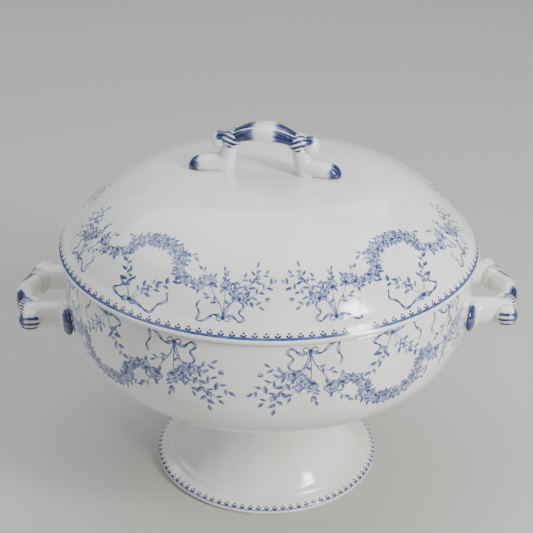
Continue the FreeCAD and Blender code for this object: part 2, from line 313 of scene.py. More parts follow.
class Sketch:
    """Outlines with a tone from 0, white, to 1, the darkest blue, each over the last."""

    def __init__(self, seed):
        self.shapes = []
        self.random = random.Random(seed)

    def fill(self, outline, tone):
        self.shapes.append(([(float(u), float(v)) for u, v in outline], tone))

    def disc(self, u, v, radius, tone, corners=10):
        turns = [2 * pi * k / corners for k in range(corners)]
        self.fill([(u + radius * cos(t), v + radius * sin(t)) for t in turns], tone)

    def crescent(self, u, v, radius, heading, spread, thick, tone):
        """A tapered arc round (u, v), thickest at its middle heading."""
        steps = 4
        outer = []
        inner = []
        for k in range(steps + 1):
            share = 2 * k / steps - 1
            turn = heading + spread * share
            outer.append(polar(u, v, radius, turn))
            if 0 < k < steps:
                inner.append(polar(u, v, radius - thick * (1 - share * share), turn))
        self.fill(outer + inner[::-1], tone)

    def stroke(self, points, width, tone, step=2.2):
        """A line of the pen through points. width and tone are numbers or functions of the share."""
        count = max(3, round(path_length(points) / step) + 1)
        spots = through(points, count)
        slopes = np.gradient(spots, axis=0)
        slopes /= np.linalg.norm(slopes, axis=1)[:, None] + 1e-9
        sides = []
        for k, ((u, v), (du, dv)) in enumerate(zip(spots, slopes)):
            half = (width(k / (count - 1)) if callable(width) else width) / 2
            sides.append(((u - dv * half, v + du * half), (u + dv * half, v - du * half)))
        for k, (here, following) in enumerate(zip(sides, sides[1:])):
            shade = tone((k + 0.5) / (count - 1)) if callable(tone) else tone
            self.fill((here[0], following[0], following[1], here[1]), shade)
        return spots, slopes

    def leaf(self, u, v, heading, length, tone=0.6):
        """A pointed leaf with one half darker than the other and a dark middle rib."""
        turn = radians(heading)
        c, s = cos(turn), sin(turn)
        width = length * self.random.uniform(0.2, 0.27)
        half = [(0.16, 0.62), (0.38, 1.0), (0.62, 0.86), (0.84, 0.42)]
        for side, shade in ((1, tone), (-1, tone * 0.62)):
            outline = [(0, 0)] + [(x * length, side * y * width) for x, y in half] + [(length, 0)]
            self.fill([(u + x * c - y * s, v + x * s + y * c) for x, y in outline], shade)
        self.stroke([(u, v), polar(u, v, 0.7 * length, heading)], 0.32, min(1.0, tone * 1.45), 9)

    def stem(self, points, width, tone):
        return self.stroke(points, lambda t: width * (1 - 0.35 * t), tone)

    def ribbon(self, points, width=1.7, turns=2.5, start=0.0):
        """A flat ribbon that twists as it goes, so it thins and darkens at each turn."""
        def wide(t):
            return width * (0.28 + 0.72 * abs(sin(pi * (turns * t + start)))) * (1 - 0.25 * t)

        def shade(t):
            return 0.62 + 0.34 * cos(2 * pi * (turns * t + start))
        self.stroke(points, wide, shade, 1.5)

    def rose(self, u, v, radius, heading, tone):
        """An open rose on three leaves: pale petals with shaded edges, and a dark folded heart."""
        for k in range(3):
            turn = heading + 120 * k + self.random.uniform(-30, 30)
            root = polar(u, v, radius * 0.6, turn)
            self.leaf(*root, turn + self.random.uniform(-25, 25), radius * 1.15, 0.62)
        self.disc(u, v, radius * 0.92, 0.2, 9)
        for k in range(6):
            turn = heading + 60 * k + self.random.uniform(-10, 10)
            petal = polar(u, v, radius * self.random.uniform(0.48, 0.58), turn)
            self.crescent(*petal, radius * 0.5, turn, 88, radius * 0.19, 0.48 + 0.3 * (k % 2))
        self.crescent(u, v, radius * 0.72, heading, 68, radius * 0.42, tone)
        self.crescent(u, v, radius * 0.55, heading + 165, 85, radius * 0.24, tone * 0.75)
        self.crescent(u, v, radius * 0.36, heading + 30, 120, radius * 0.24, 1.0)

    def bud(self, u, v, heading, length, tone=0.75):
        self.leaf(u, v, heading - 24, length * 0.85, tone)
        self.leaf(u, v, heading + 24, length * 0.85, tone * 0.8)
        tip = polar(u, v, 0.62 * length, heading)
        self.disc(*tip, length * 0.3, 0.25, 8)
        self.crescent(*tip, length * 0.32, heading + 120, 80, length * 0.2, tone)

    def sprig(self, points, leaf=4.6, gap=3.6, tone=0.6, bare=0.15):
        """A stem with leaves on alternate sides and one at its tip."""
        spots, slopes = self.stem(points, 0.5, tone * 0.8)
        count = max(2, round(path_length(spots) * (1 - bare) / gap))
        side = 1
        for k in range(count):
            share = bare + (1 - bare) * k / count
            at = round(share * (len(spots) - 1))
            size = leaf * self.random.uniform(0.8, 1.12)
            lean = side * self.random.uniform(42, 62)
            shade = tone * self.random.uniform(0.75, 1.2)
            self.leaf(*spots[at], heading_of(*slopes[at]) + lean, size, shade)
            side = -side
        self.leaf(*spots[-1], heading_of(*slopes[-1]), leaf * 1.05, tone)

    def garland(self, centre, reach, first, last, step, leaf, tone):
        """Leaves in pairs along an oval, with a thin stem under them."""
        count = max(2, round(abs(last - first) / step))
        spots = [on_oval(centre, reach, first + (last - first) * k / count) for k in range(count + 1)]
        self.stem(spots, 0.6, 0.45)
        for here, following in zip(spots, spots[1:]):
            heading = heading_of(following[0] - here[0], following[1] - here[1])
            for side in (1, -1):
                lean = side * self.random.uniform(28, 62)
                size = leaf * self.random.uniform(0.7, 1.15)
                u = here[0] + self.random.uniform(-0.5, 0.5)
                v = here[1] + self.random.uniform(-0.5, 0.5)
                self.leaf(u, v, heading + lean, size, tone * self.random.uniform(0.6, 1.35))

    def placed(self, other, u, v, mirror=1, squeeze=(1, 1)):
        """Draws another sketch here, turned over left to right if mirror is -1."""
        wide, high = squeeze
        for outline, tone in other.shapes:
            self.shapes.append(([(u + mirror * wide * a, v + high * b) for a, b in outline], tone))


def bow(s, size):
    """The tied middle of a ribbon: two loops and a knot."""
    for side in (-1, 1):
        s.ribbon([(0, 0), (side * 2.6 * size, -2.2 * size), (side * 4.6 * size, -1.2 * size),
                  (side * 3.2 * size, 0.8 * size), (0, 0.3 * size)], 1.5 * size, 1.5, 0.3)
    s.disc(0, 0, 1.25 * size, 1.0)


SPRAY_STEMS = [
    [(0, 0), (1, 8), (6, 13), (11, 15)],
    [(0, 0), (-0.5, 10), (-1, 22)],
    [(0, 0), (-3, 9), (-9, 17), (-13, 24)],
    [(0, 0), (3, 9), (10, 20), (18, 28)],
]
# course of the stem, length of a leaf, and gap between leaves
SPRAY_SPRIGS = [
    ([(11, 15), (17, 17), (25, 22), (33, 28)], 5.6, 3.3),
    ([(12, 17), (16, 25), (19, 33), (20.5, 40)], 5.8, 3.3),
    ([(12, 14), (18, 13), (23, 10)], 4.8, 3.0),
    ([(16, 26), (22, 30), (27, 35)], 5.0, 3.2),
    ([(-1, 20), (-2, 28), (-4, 35)], 4.8, 3.0),
    ([(2, 8), (4, 16), (5, 23)], 5.0, 3.0),
    ([(-4, 10), (-9, 13), (-13, 15)], 4.6, 3.0),
    ([(-13, 24), (-18, 31), (-22, 34)], 5.0, 3.0),
    ([(6, 19), (9, 26), (11, 31)], 5.0, 3.0),
]
# place, radius, heading and tone
SPRAY_ROSES = [
    (11, 15.5, 4.0, 200, 0.9),
    (-1.2, 24, 4.4, 250, 0.9),
    (-13.5, 26, 4.8, 300, 0.9),
    (-21, 22, 4.3, 60, 0.9),
    (5.5, 19, 3.3, 120, 0.8),
]
SPRAY_BUDS = [(-2.5, 31, 100, 5.0), (27, 16, -20, 4.4), (20, 30, 60, 4.4)]
# angle on the wreath's oval, and radius
WREATH_ROSES = [(176, 3.6), (150, 4.2), (126, 4.0), (100, 4.7), (74, 4.1), (50, 4.5), (24, 3.8), (2, 3.4)]


def spray(seed):
    """A bouquet hanging from a ribbon, with its wide side towards +u."""
    s = Sketch(seed)
    s.ribbon([(0, 0), (6.3, 1.8), (11.5, -1.8), (13.5, .8), (10, 4.4), (12.7, 9), (10.5, 13)], 2.7, 3.1)
    s.ribbon([(0, 0), (-6.5, 1.8), (-12.5, -3.2), (-17, -4.0), (-16.4, 1.6), (-19, 6), (-17.8, 11)],
             2.7, 3.3, 0.3)
    for points in SPRAY_STEMS:
        s.stem(points, 0.8, 0.7)
    for sprig in SPRAY_SPRIGS:
        s.sprig(*sprig)
    for rose in SPRAY_ROSES:
        s.rose(*rose)
    for bud in SPRAY_BUDS:
        s.bud(*bud)
    bow(s, 1.0)
    return s


def wreath(seed):
    """A bow with fanning leafy stems that carry an arch of roses."""
    s = Sketch(seed)
    middle = (2.5, 30.0)
    reach = (21.0, 16.5)
    s.ribbon([(0, 0), (8, -1.5), (16, -3.5), (18.5, 2.5), (23, 6.5), (21.5, 12)], 2.7, 3.2)
    s.ribbon([(0, 0), (-8, -.5), (-13, 3), (-8.5, 6.5), (-13, 12)], 2.7, 2.6, 0.3)
    s.sprig([(0, 0), (-6, 10), (-12, 20), (-17, 29)], 5.4, 3.2, 0.66, 0.24)
    s.sprig([(0, 0), (-3, 8), (-4, 13), (-7, 18)], 4.4, 3.2, 0.6, 0.5)
    s.sprig([(0, 0), (9, 8), (17, 15), (24, 22)], 5.4, 3.2, 0.66, 0.24)
    s.sprig([(0, 0), (4, 8), (8, 13), (13, 16)], 4.8, 3.0, 0.6, 0.35)
    s.garland(middle, (reach[0] + 2.4, reach[1] + 2.4), 172, 4, 10.0, 4.8, 0.6)
    s.garland(middle, (reach[0] - 3.2, reach[1] - 3.2), 176, 8, 11.0, 4.6, 0.6)
    s.garland(middle, reach, 190, -22, 7.0, 5.2, 0.68)
    s.sprig([(-15, 38), (-20, 42), (-24, 41)], 4.8, 3.0)
    s.sprig([(20, 40), (26, 43), (30, 41)], 4.8, 3.0)
    for turn, size in WREATH_ROSES:
        scatter = 40 * sin(turn)  # no angle: it only turns each rose by another amount
        s.rose(*on_oval(middle, reach, turn), size, turn + 180 + scatter, 0.92)
    bow(s, 1.1)
    return s


def link(seed, first, last):
    """The short garland between a wreath and a spray."""
    s = Sketch(seed)
    middle = ((first[0] + last[0]) / 2, (first[1] + last[1]) / 2 - 1.5)
    s.sprig([first, middle, last], 4.8, 2.6, 0.66, 0.0)
    s.sprig([last, (middle[0], middle[1] + 2), first], 4.4, 3.0, 0.56, 0.0)
    s.rose(middle[0], middle[1] + 0.8, 3.6, 110, 0.9)
    return s


def group(spacing, spray_squeeze, wreath_squeeze, drop):
    """A wreath between two sprays, as it comes off one transfer. drop is how far in it all lies."""
    s = Sketch(5)
    inner = spacing - 23 * spray_squeeze[0]
    level = 23 * spray_squeeze[1]
    for side, seed, edge in ((-1, 31, 18.0), (1, 37, 23.0)):
        s.placed(link(seed, (edge, 29 * wreath_squeeze[1]), (inner, level)), 0, drop, side)
    s.placed(spray(11), -spacing, drop + 2.0, -1, spray_squeeze)
    s.placed(spray(23), spacing, drop + 2.0, 1, spray_squeeze)
    s.placed(wreath(41), 0, drop, 1, wreath_squeeze)
    return s


def trefoil(half_width, line, dots, tones):
    """One repeat of the border: three dots in a clover above a line."""
    s = Sketch(7)
    low, high = line
    line_tone, dot_tone = tones
    s.fill([(-half_width, low), (half_width, low), (half_width, high), (-half_width, high)], line_tone)
    s.fill([(-1.3, high), (1.3, high), (0.45, dots[0]), (-0.45, dots[0])], line_tone)
    for u, v in ((-1.25, dots[0]), (1.25, dots[0]), (0, dots[1])):
        s.disc(u, v, DOT_RADIUS, dot_tone, 8)
    return s


def tones_at(middles, shapes):
    """The tone of the last outline around each of some points, by counting crossings."""
    tones = np.zeros(len(middles))
    for corners, tone in shapes:
        low, high = corners.min(axis=0), corners.max(axis=0)
        near = np.nonzero(((middles > low) & (middles < high)).all(axis=1))[0]
        inside = np.zeros(len(near), bool)
        x, y = middles[near, 0], middles[near, 1]
        for (ax, ay), (bx, by) in zip(corners, np.roll(corners, -1, axis=0)):
            if ay != by:
                inside ^= ((ay > y) != (by > y)) & (x < (bx - ax) * (y - ay) / (by - ay) + ax)
        tones[near[inside]] = tone
    return tones


def stamped(surface, run, rows, place_of, sketch, half_columns, centres, per_degree):
    """Presses a sketch into a run: cuts its outlines into the faces around each centre column."""
    columns = [(k - half_columns) * COLUMN_DEGREES * per_degree for k in range(round(2 * half_columns) + 1)]
    points = [(u, place) for place in rows for u in columns]
    width = len(columns)
    edges = []
    for row in range(len(rows)):
        for column in range(width):
            here = row * width + column
            if column + 1 < width:
                edges.append((here, here + 1))
            if row + 1 < len(rows):
                edges.append((here, here + width))
    edge_u = half_columns * COLUMN_DEGREES * per_degree
    low, high = min(rows), max(rows)
    shapes = []
    for outline, tone in sketch.shapes:
        corners = [(min(edge_u, max(-edge_u, u)), min(high, max(low, place_of(v)))) for u, v in outline]
        first = len(points)
        count = len(corners)
        points.extend(corners)
        edges.extend((first + k, first + (k + 1) % count) for k in range(count))
        shapes.append((np.array(corners), tone))
    spots, _, cut = delaunay_2d_cdt([Vector(p) for p in points], edges, [], 0, 1e-5, False)[:3]
    spots = np.array([tuple(spot) for spot in spots])
    u, places = spots[:, 0], spots[:, 1]
    inks = tones_at(spots[np.array(cut)].mean(axis=1), shapes)
    for centre, mirror in centres:
        degrees = centre * COLUMN_DEGREES + mirror * u / per_degree
        positions, normals = run.at(degrees, places)
        surface.add(positions, normals, cut, inks)


def bordered(surface, run, rows, place_of, middles, half_columns, radius, clover):
    """A border of clovers around some middle columns, at about this radius."""
    per_degree = pi * radius / 180
    sketch = trefoil(half_columns * COLUMN_DEGREES * per_degree, *clover)
    stamped(surface, run, rows, place_of, sketch, half_columns, [(k, 1) for k in middles], per_degree)


def columns_around(centres, half_columns):
    """The numbers of the face columns that prints around these centre columns take up."""
    reach = range(-half_columns, half_columns)
    return {(centre + k) % COLUMNS for centre, _ in centres for k in reach}


# ================= turned pieces =================
LID_GROUPS = [(-30, 1), (31, -1), (97, -1), (167, 1)]  # centre column, and -1 where turned over
LID_HALF_COLUMNS = 30
LID_MM_PER_DEGREE = 2.06  # width of a degree where the lid's print lies
LID_PRINT = (5.2, 56.0)  # nearest to the rim's edge, and furthest
LID_BORDER = 5.2  # how far in the border reaches
LID_BORDER_RADIUS = 137.0
# spacing of the sprays, how far a spray and the wreath are squeezed, and how far in they lie
LID_GROUP = (56.0, (0.8, 0.8), (1.0, 0.88), 10.0)
BOWL_GROUP = (52.6, (1.0, 1.0), (1.0, 1.0), 4.0)
# edges of a border's line, heights of its dots, and tones of line and dots
LID_CLOVER = ((0.2, 1.9), (2.75, 4.15), (0.66, 0.95))
FOOT_CLOVER = ((0.2, 0.9), (2.1, 3.5), (0.8, 1.0))
DOT_RADIUS = 0.74
BOWL_GROUPS = [(-35, -1), (22, 1), (110, -1), (166, 1)]
BOWL_HALF_COLUMNS = 28
BOWL_MM_PER_DEGREE = 2.39
BOWL_PRINT = (1.0, 58.0)
FOOT_BORDER = 4.8
FOOT_BORDER_RADIUS = 78.0


def dome_z(radius):
    return SEAM_Z + DOME_RISE * (1 - (radius / LID_RADIUS) ** DOME_POWER)


def dome_fall(radius):
    return DOME_RISE * DOME_POWER / LID_RADIUS * (radius / LID_RADIUS) ** (DOME_POWER - 1)


def lid_mesh():
    radii = np.linspace(0, DOME_EDGE_RADIUS, OUTLINE_POINTS)
    edge = (DOME_EDGE_RADIUS, dome_z(DOME_EDGE_RADIUS))
    dome = np.stack([radii, dome_z(radii)], axis=1)
    outer = Run(joined(dome, through([edge] + LID_RIM, RIM_POINTS, (1, -dome_fall(DOME_EDGE_RADIUS)))))
    falls = dome_fall(radii)
    lengths = np.hypot(1, falls)
    inside = np.stack([radii - LID_WALL * falls / lengths, dome_z(radii) - LID_WALL / lengths], axis=1)
    inside = inside[inside[:, 0] < FLANGE_INNER_RADIUS - 0.5]
    flange_round = (FLANGE_OUTER_RADIUS - FLANGE_INNER_RADIUS) / 2
    flange_z = SEAM_Z - FLANGE_DEPTH + flange_round
    flange_middle = FLANGE_INNER_RADIUS + flange_round
    inner_top = (FLANGE_INNER_RADIUS, inside[-1][1] - 0.5)
    surface = Surface()
    # the dome and its sloping rim, with the print and then the border
    slope_end = outer.places[np.argmin(np.abs(outer.points - RIM_END).sum(axis=1))]
    near, far = LID_PRINT
    border = outer.rows(slope_end - LID_BORDER, slope_end, 1.7)
    surface.turn(outer, 0, slope_end - far)
    covered = columns_around(LID_GROUPS, LID_HALF_COLUMNS)
    band = surface.turn(outer, slope_end - far, slope_end - near, covered=covered)
    surface.turn(outer, slope_end, step=0.8)

    def inward(v):
        return slope_end - v
    stamped(surface, outer, band, inward, group(*LID_GROUP), LID_HALF_COLUMNS, LID_GROUPS, LID_MM_PER_DEGREE)
    bordered(surface, outer, border, inward, range(0, COLUMNS, 2), 1, LID_BORDER_RADIUS, LID_CLOVER)
    # the seat, the ring under it, and the inner side
    surface.turn(Run([LID_RIM[-1], (FLANGE_OUTER_RADIUS, SEAM_Z)]))
    outer_side = [(FLANGE_OUTER_RADIUS, SEAM_Z), (FLANGE_OUTER_RADIUS, flange_z)]
    flange_arc = arc(outer_side[1], (flange_middle, flange_z - flange_round),
                     (FLANGE_INNER_RADIUS, flange_z), 15)
    surface.turn(Run(joined(outer_side, flange_arc, [flange_arc[-1], inner_top])), step=1.2)
    surface.turn(Run(joined([inner_top, inside[-1]], inside[::-1])), step=5.0)
    return surface.mesh("lid_glazed")


def bowl_mesh():
    side = through(BOWL_SIDE, OUTLINE_POINTS)
    rim_z = BOWL_TOP_Z - BOWL_RIM_ROUND
    outer_middle = (BOWL_SIDE[0][0] - BOWL_RIM_ROUND, rim_z)
    inner_middle = (BOWL_MOUTH_RADIUS + BOWL_RIM_ROUND, rim_z)
    diagonal = BOWL_RIM_ROUND * math.sqrt(0.5)
    outer_round = arc((outer_middle[0], BOWL_TOP_Z), (outer_middle[0] + diagonal, rim_z + diagonal),
                      BOWL_SIDE[0])
    inner_round = arc((BOWL_MOUTH_RADIUS, rim_z), (inner_middle[0] - diagonal, rim_z + diagonal),
                      (inner_middle[0], BOWL_TOP_Z))
    outer = Run(joined(outer_round, side))
    slopes = unit(np.gradient(side, axis=0))
    moved = side + np.stack([slopes[:, 1], -slopes[:, 0]], axis=1) * BOWL_WALL
    every = OUTLINE_POINTS // BOWL_INNER_STEPS
    picks = moved[::-1][every::every]
    inner_points = [(0, BOWL_FLOOR_Z)] + [tuple(p) for p in picks[:-1]] + [(BOWL_MOUTH_RADIUS, rim_z)]
    inner = Run(joined(through(inner_points, OUTLINE_POINTS, (1, 0), (0, 1)), inner_round,
                       [inner_round[-1], outer_round[0]]))
    surface = Surface()
    surface.turn(inner, 0, inner.length - 6, 5.0)
    surface.turn(inner, inner.length - 6, step=0.6)
    start, end = BOWL_PRINT
    surface.turn(outer, 0, start, 0.5)
    band = surface.turn(outer, start, end, covered=columns_around(BOWL_GROUPS, BOWL_HALF_COLUMNS))
    surface.turn(outer, end)
    stamped(surface, outer, band, lambda v: v, group(*BOWL_GROUP), BOWL_HALF_COLUMNS, BOWL_GROUPS,
            BOWL_MM_PER_DEGREE)
    surface.turn(Run([BOWL_SIDE[-1], (0, FOOT_TOP_Z)]), step=10)
    return surface.mesh("bowl_glazed")


def foot_mesh():
    surface = Surface()
    side = Run(joined(through(FOOT_SIDE, OUTLINE_POINTS), arc(*FOOT_STEP)))
    surface.turn(side, 0, side.length - 4)
    surface.turn(side, side.length - 4, step=0.7)
    band_start = FOOT_STEP[-1]
    band = Run(joined(np.linspace(band_start, BAND_EDGE, 12), arc(*BAND_ROUND)))
    slope = math.dist(band_start, BAND_EDGE)
    border_end = slope + 1.5
    border = band.rows(border_end - FOOT_BORDER, border_end, 1.6)
    surface.turn(band, 0, border[0], 1.0)
    surface.turn(band, border_end, step=0.8)
    middles = [column + 1.5 for column in range(0, COLUMNS, 3)]
    bordered(surface, band, border, lambda v: border_end - v, middles, 1.5, FOOT_BORDER_RADIUS, FOOT_CLOVER)
    # the resting ring is bare clay, the second material
    surface.turn(Run([BAND_ROUND[-1], RING_ROUND[0]]), material=1)
    surface.turn(Run(arc(*RING_ROUND)), step=0.6, material=1)
    surface.turn(Run(through(FOOT_HOLLOW, OUTLINE_POINTS)))
    surface.turn(Run([FOOT_HOLLOW[-1], FOOT_SIDE[0]]), step=10)
    return surface.mesh("pedestal_foot_glazed")


# ================= handles =================
# x runs along a handle, y across it, and z away from the wall that it stands on.
LID_HANDLE_TURN = -11.0
LID_HANDLE_SHIFT = (-3.3, -2.6)  # the handle was set by hand, a little off the lid's middle
SIDE_HANDLE_RADIUS = 136.5
SIDE_HANDLE_Z = (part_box("right_handle_grip")[0].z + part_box("right_handle_grip")[1].z) / 2 / MM

LID_HANDLE = SimpleNamespace(
    seat_curve=900.0,
    crown=27.4,
    bend=40.0,
    strap_end=24.5,
    strap_width=(21.8, 12.3),
    strap_thick=(11.3, 8.3),
    flutes=13,
    flute_depth=0.36,
    binding_at=21.4,
    binding_length=6.6,
    binding_size=(14.8, 12.2),
    cord=(2.0, 13),  # turns from end to end, and ridges round the strap
    cord_side=(-3.0, -2.0),  # how far round the blue between the ridges goes, as above
    leg_root=-1.2,
    leg_at=22.0,
    leg_lean=5.0,
    leg_top=20.0,
    leg_radii=(6.7, 5.9, 5.6),
    knob_at=(29.6, 19.8),
    knob_radius=6.0,
    foot=[
        (22.0, 5.8, 4.6, 5.2),
        (24.0, 6.4, 5.7, 6.0),
        (28.0, 5.9, 6.0, 6.8),
        (35.0, 5.1, 5.8, 7.7),
        (42.0, 4.6, 5.2, 7.7),
        (47.2, 3.7, 4.0, 6.0),
        (50.2, 2.4, 1.6, 3.0),
    ],
    toe_paint=(41.5, 47.5),
    stroke_reach=(0.16, 0.46),  # share of the strap's half length where the brush lifts
    stroke_side=(-0.8, -0.2),  # how far round the strap the strokes go, from below to outward
    stroke_gap=0.95,
    knob_strokes=0.0,
)
SIDE_HANDLE = SimpleNamespace(
    seat_curve=136.5,
    crown=29.0,
    bend=36.0,
    strap_end=24.0,
    strap_width=(16.2, 13.2),
    strap_thick=(12.4, 12.0),
    flutes=15,
    flute_depth=0.08,
    binding_at=20.0,
    binding_length=6.4,
    binding_size=(17.6, 15.6),
    cord=(0.5, 26),
    cord_side=(-0.4, 0.2),
    leg_root=-5.0,
    leg_at=26.5,
    leg_lean=0.0,
    leg_top=26.2,
    leg_radii=(9.6, 9.0, 7.8),
    knob_at=(34.2, 21.2),
    knob_radius=7.7,
    foot=[
        (23.0, 6.6, 6.2, 7.6),
        (26.5, 6.8, 6.6, 8.8),
        (31.5, 4.2, 4.9, 9.7),
        (36.5, 2.7, 3.4, 10.0),
        (41.0, 2.0, 2.6, 8.8),
        (44.2, 1.5, 1.8, 6.0),
        (45.8, 1.2, 0.8, 2.8),
    ],
    toe_paint=(38.5, 41.5),
    stroke_reach=(0.1, 0.46),
    stroke_side=(-0.1, 0.4),
    stroke_gap=0.0,
    knob_strokes=1.0,
)
SQUARENESS = 2.5  # 2 is an ellipse, and more is nearer to a rounded box
HAND_WAVE = 0.12  # how uneven modelling by hand leaves a strap
CORD_DEPTH = 0.32  # half the depth between the ridges of a binding
BINDING_TAPER = 0.46
KNOB_FLUTE = 0.22


def smoothstep(low, high, value):
    share = np.clip((value - low) / (high - low), 0, 1)
    return share * share * (3 - 2 * share)


def rounded(angle):
    """A point of the unit superellipse, as its share across and its share outward."""
    c, s = cos(angle), sin(angle)
    power = 2 / SQUARENESS
    return math.copysign(abs(c) ** power, c), math.copysign(abs(s) ** power, s)


def strap_place(size, along):
    """Middle point and outward direction of the bent strap."""
    angle = math.asin(along / size.bend)
    centre = Vector((along, 0, size.crown - size.bend * (1 - cos(angle))))
    return centre, Vector((sin(angle), 0, cos(angle)))


def ring(around, place):
    """Points all round, each placed by its angle."""
    return [place(2 * pi * k / around) for k in range(around)]


def loft(rings):
    """Vertices and faces of a closed skin over rings of equal counts, with rounded-in ends."""
    around = len(rings[0])
    vertices = [corner for points in rings for corner in points]
    faces = quads(len(rings), around)
    for row, order in ((0, -1), (len(rings) - 1, 1)):
        centre = sum(rings[row], Vector()) / around
        vertices.append(centre)
        for k in range(around):
            face = (row * around + k, row * around + (k + 1) % around, len(vertices) - 1)
            faces.append(face[::order])
    return vertices, faces


def add_object(name, data):
    made = bpy.data.objects.new(name, data)
    bpy.context.scene.collection.objects.link(made)
    return made


def make_mesh(name, vertices, faces):
    mesh = bpy.data.meshes.new(name)
    mesh.from_pydata([tuple(v) for v in vertices], [], faces)
    work = bmesh.new()
    work.from_mesh(mesh)
    bmesh.ops.recalc_face_normals(work, faces=work.faces[:])
    work.to_mesh(mesh)
    work.free()
    return mesh


def painted(mesh, brush, grain):
    """Stores how loaded the brush was at each vertex, and the direction that it ran in."""
    count = len(mesh.vertices)
    spots = np.zeros(count * 3)
    mesh.vertices.foreach_get("co", spots)
    spots = spots.reshape(-1, 3)
    mesh.attributes.new("brush", "FLOAT", "POINT").data.foreach_set("value", brush(spots).astype(np.float32))
    flow = grain(spots).astype(np.float32)
    mesh.attributes.new("grain", "FLOAT_VECTOR", "POINT").data.foreach_set("vector", flow.ravel())
    return mesh


def round_the_strap(size, spots):
    """Angle round the strap's middle line (0 across, 90 outward) of local points."""
    along = np.clip(spots[:, 0], -size.bend * 0.9, size.bend * 0.9)
    middle = size.crown - size.bend + np.sqrt(size.bend ** 2 - along ** 2)
    return np.arctan2(spots[:, 2] - middle, spots[:, 1])


def grip_mesh(name, size):
    rings = []
    stations, around = GRIP_CUTS
    middle_width, end_width = size.strap_width
    middle_thick, end_thick = size.strap_thick
    for k in range(stations):
        share = 2 * k / (stations - 1) - 1
        centre, up = strap_place(size, share * size.strap_end)
        fullness = cos(share * pi / 2) ** 2
        half_width = (end_width + (middle_width - end_width) * fullness) / 2
        half_thick = (end_thick + (middle_thick - end_thick) * fullness) / 2

        def place(angle):
            across, out = rounded(angle)
            flute = size.flute_depth * (1 - abs(cos(size.flutes * angle / 2)) ** 0.6)
            wave = HAND_WAVE * sin(3 * share + 2 * angle)
            scale = 1 + (flute + wave - size.flute_depth) / half_width
            return centre + Vector((0, across * half_width * scale, 0)) + up * (out * half_thick * scale)
        rings.append(ring(around, place))
    mesh = make_mesh(name, *loft(rings))

    def brush(spots):
        share = np.abs(spots[:, 0]) / size.strap_end
        angle = round_the_strap(size, spots)
        fullness = np.cos(share * pi / 2) ** 2
        across = spots[:, 1] * 2 / (end_width + (middle_width - end_width) * fullness)
        parted = 1 - size.stroke_gap * np.exp(-((np.abs(across) - 0.62) / 0.09) ** 2)
        outward = smoothstep(*size.stroke_side, np.sin(angle))
        return 1.15 * smoothstep(*size.stroke_reach, share) * outward * parted

    def grain(spots):
        angle = round_the_strap(size, spots)
        return np.stack([spots[:, 0] * 0.1, np.cos(angle) * 7, np.sin(angle) * 7], axis=1)
    return painted(mesh, brush, grain)


def binding_mesh(name, size):
    """Cord wound round the strap: ridges that slant across it, in blue paint, with a painted highlight left
    white on top of each ridge and painted shade in deep blue between.
    """
    across, through_strap = size.binding_size
    turns, ridges = size.cord
    rings = []
    stations, around = BINDING_CUTS
    for k in range(stations):
        share = k / (stations - 1) - 0.5
        centre, up = strap_place(size, size.binding_at + share * size.binding_length)
        bulge = 1 - BINDING_TAPER * share * share

        def place(angle):
            a, o = rounded(angle)
            ridge = sin(ridges * angle + 2 * pi * turns * share)
            grow = CORD_DEPTH * (ridge - 1) * (1 - abs(share))
            return (centre + Vector((0, a * (across / 2 * bulge + grow), 0))
                    + up * (o * (through_strap / 2 * bulge + grow)))
        rings.append(ring(around, place))
    mesh = make_mesh(name, *loft(rings))

    def brush(spots):
        share = (spots[:, 0] - size.binding_at) / size.binding_length
        angle = round_the_strap(size, spots)
        ridge = np.sin(ridges * angle + 2 * np.pi * turns * share)
        # painted highlight and painted shade: the brush load follows the ridges, white on each crest and
        # full blue in each groove
        return np.clip(0.58 - 0.62 * ridge, 0, 1) * smoothstep(*size.cord_side, np.sin(angle))

    def grain(spots):
        return spots * 0.5
    return painted(mesh, brush, grain)


def knob_mesh(name, size):
    """Rounded end beyond the binding, fluted towards its tip."""
    along, height = size.knob_at
    radius = size.knob_radius
    rings = []
    stations, around = KNOB_CUTS
    for k in range(1, stations):
        turn = pi * k / stations
        ease = sin(turn) ** 2

        def place(angle):
            flute = KNOB_FLUTE * ease * (cos(9 * angle + 2.5 * cos(turn)) - 1)
            reach = radius + flute
            return Vector((along - reach * cos(turn), reach * sin(turn) * cos(angle),
                           height + reach * sin(turn) * sin(angle)))
        rings.append(ring(around, place))
    mesh = make_mesh(name, *loft(rings))

    def brush(spots):
        x = (spots[:, 0] - along) / radius
        y = spots[:, 1] / radius
        z = (spots[:, 2] - height) / radius
        blot = 1.2 * smoothstep(0.15, 0.6, z) * smoothstep(0.55, -0.1, x)
        strokes = smoothstep(0.05, 0.4, x + 0.35 * z) * (0.45 + 0.6 * np.sin(14 * y + 3 * z * z + 0.8))
        edge = smoothstep(0.45, 0.85, z + 0.25 * x)
        painted_end = np.maximum(strokes * smoothstep(1.0, 0.45, y), edge * 0.9)
        return np.clip(blot * (1 - size.knob_strokes) + painted_end * size.knob_strokes, 0, 1)

    def grain(spots):
        angle = np.arctan2(spots[:, 2] - height, spots[:, 1])
        return np.stack([spots[:, 0] * 0.2, np.cos(angle) * 6, np.sin(angle) * 6], axis=1)
    return painted(mesh, brush, grain)


